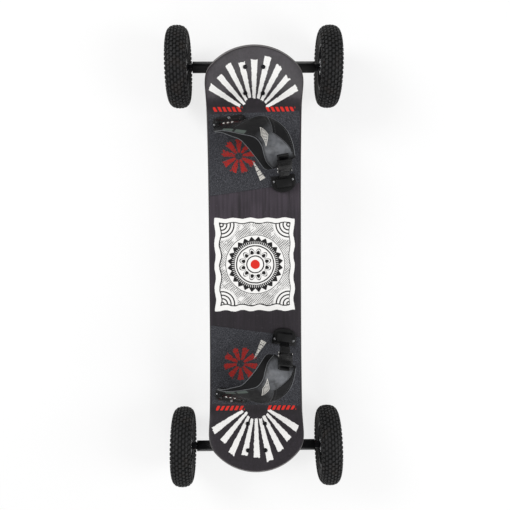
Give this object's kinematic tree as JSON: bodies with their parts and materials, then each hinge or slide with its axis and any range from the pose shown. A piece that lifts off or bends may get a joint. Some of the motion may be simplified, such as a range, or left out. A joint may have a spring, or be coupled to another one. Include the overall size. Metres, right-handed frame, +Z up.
{
  "type": "mountainboard",
  "caption": "Off-road board: a long deck with upturned tips, sprung channel trucks, knobbly pneumatic wheels on split hubs and ratchet foot bindings.",
  "frame": {"origin": "on the ground under the middle of the deck", "axes": "+X to the toe side, +Y to the nose, +Z up"},
  "size_m": [0.419, 1.141, 0.2783],
  "materials": {
    "lacquered_wood": "satin lacquer",
    "grip_sheet": "coarse grip sheet",
    "black_aluminium": "satin black coat",
    "steel": "plated",
    "bolt_steel": "black plated",
    "elastomer": "satin",
    "tyre_rubber": "matt rubber",
    "hub_plastic": "moulded, satin",
    "moulded_plastic": "moulded, satin",
    "padding": "sewn synthetic leather over foam"
  },
  "bodies": {
    "board": {"deck": "lacquered_wood", "grip_front": "grip_sheet", "grip_rear": "grip_sheet", "baseplate_front": "black_aluminium", "kingpin_front": "steel", "shock_block_front_left": "elastomer", "shock_block_front_right": "elastomer", "truck_bolt_front_inner_left": "bolt_steel", "truck_bolt_front_inner_right": "bolt_steel", "truck_bolt_front_outer_left": "bolt_steel", "truck_bolt_front_outer_right": "bolt_steel", "outer_mount_front": "moulded_plastic", "inner_mount_front": "moulded_plastic", "ladder_strap_front": "moulded_plastic", "baseplate_rear": "black_aluminium", "kingpin_rear": "steel", "shock_block_rear_left": "elastomer", "shock_block_rear_right": "elastomer", "truck_bolt_rear_inner_left": "bolt_steel", "truck_bolt_rear_inner_right": "bolt_steel", "truck_bolt_rear_outer_left": "bolt_steel", "truck_bolt_rear_outer_right": "bolt_steel", "outer_mount_rear": "moulded_plastic", "inner_mount_rear": "moulded_plastic", "ladder_strap_rear": "moulded_plastic"},
    "axle_front": {"hanger_front": "black_aluminium", "axle_beam_front": "black_aluminium", "axle_rod_front": "steel", "axle_nut_front_left": "steel", "axle_nut_front_right": "steel"},
    "wheel_front_left": {"tyre_front_left": "tyre_rubber", "hub_outer_front_left": "hub_plastic", "hub_inner_front_left": "hub_plastic", "bearing_set_front_left": "steel"},
    "wheel_front_right": {"tyre_front_right": "tyre_rubber", "hub_outer_front_right": "hub_plastic", "hub_inner_front_right": "hub_plastic", "bearing_set_front_right": "steel"},
    "axle_rear": {"hanger_rear": "black_aluminium", "axle_beam_rear": "black_aluminium", "axle_rod_rear": "steel", "axle_nut_rear_left": "steel", "axle_nut_rear_right": "steel"},
    "wheel_rear_left": {"tyre_rear_left": "tyre_rubber", "hub_outer_rear_left": "hub_plastic", "hub_inner_rear_left": "hub_plastic", "bearing_set_rear_left": "steel"},
    "wheel_rear_right": {"tyre_rear_right": "tyre_rubber", "hub_outer_rear_right": "hub_plastic", "hub_inner_rear_right": "hub_plastic", "bearing_set_rear_right": "steel"},
    "strap_front": {"pad_front": "padding", "ratchet_frame_front": "moulded_plastic"},
    "ratchet_lever_front": {"ratchet_lever_front": "moulded_plastic"},
    "release_lever_front": {"release_lever_front": "moulded_plastic"},
    "strap_rear": {"pad_rear": "padding", "ratchet_frame_rear": "moulded_plastic"},
    "ratchet_lever_rear": {"ratchet_lever_rear": "moulded_plastic"},
    "release_lever_rear": {"release_lever_rear": "moulded_plastic"}
  },
  "joints": [
    {"name": "steer_front", "type": "hinge", "parent": "board", "child": "axle_front", "pos_m": [0, 0.45139, 0.13584], "axis": [0, 0.8192, 0.5736], "range_deg": [-20, 20], "stiffness_Nm_per_rad": 60, "deforming": ["shock_block_front_left", "shock_block_front_right"]},
    {"name": "spin_front_left", "type": "hinge", "parent": "axle_front", "child": "wheel_front_left", "pos_m": [-0.183, 0.472, 0.098], "axis": [1, 0, 0], "continuous": true},
    {"name": "spin_front_right", "type": "hinge", "parent": "axle_front", "child": "wheel_front_right", "pos_m": [0.183, 0.472, 0.098], "axis": [1, 0, 0], "continuous": true},
    {"name": "steer_rear", "type": "hinge", "parent": "board", "child": "axle_rear", "pos_m": [0, -0.45139, 0.13584], "axis": [0, -0.8192, 0.5736], "range_deg": [-20, 20], "stiffness_Nm_per_rad": 60, "deforming": ["shock_block_rear_left", "shock_block_rear_right"]},
    {"name": "spin_rear_left", "type": "hinge", "parent": "axle_rear", "child": "wheel_rear_left", "pos_m": [-0.183, -0.472, 0.098], "axis": [1, 0, 0], "continuous": true},
    {"name": "spin_rear_right", "type": "hinge", "parent": "axle_rear", "child": "wheel_rear_right", "pos_m": [0.183, -0.472, 0.098], "axis": [1, 0, 0], "continuous": true},
    {"name": "strap_open_front", "type": "hinge", "parent": "board", "child": "strap_front", "pos_m": [-0.05839, 0.32932, 0.16292], "axis": [-0.9903, -0.139, 0.0075], "range_deg": [0, 65]},
    {"name": "ratchet_lever_lift_front", "type": "hinge", "parent": "strap_front", "child": "ratchet_lever_front", "pos_m": [0.0656, 0.21311, 0.24702], "axis": [0.9903, 0.139, -0.0075], "range_deg": [0, 60], "stiffness_Nm_per_rad": 0.05},
    {"name": "release_lever_press_front", "type": "hinge", "parent": "strap_front", "child": "release_lever_front", "pos_m": [0.06636, 0.20716, 0.2378], "axis": [-0.9903, -0.139, 0.0075], "range_deg": [0, 20], "stiffness_Nm_per_rad": 0.05},
    {"name": "strap_open_rear", "type": "hinge", "parent": "board", "child": "strap_rear", "pos_m": [-0.05839, -0.32932, 0.16292], "axis": [0.9903, -0.139, -0.0075], "range_deg": [0, 65]},
    {"name": "ratchet_lever_lift_rear", "type": "hinge", "parent": "strap_rear", "child": "ratchet_lever_rear", "pos_m": [0.0656, -0.21311, 0.24702], "axis": [-0.9903, 0.139, 0.0075], "range_deg": [0, 60], "stiffness_Nm_per_rad": 0.05},
    {"name": "release_lever_press_rear", "type": "hinge", "parent": "strap_rear", "child": "release_lever_rear", "pos_m": [0.06636, -0.20716, 0.2378], "axis": [0.9903, -0.139, -0.0075], "range_deg": [0, 20], "stiffness_Nm_per_rad": 0.05}
  ]
}
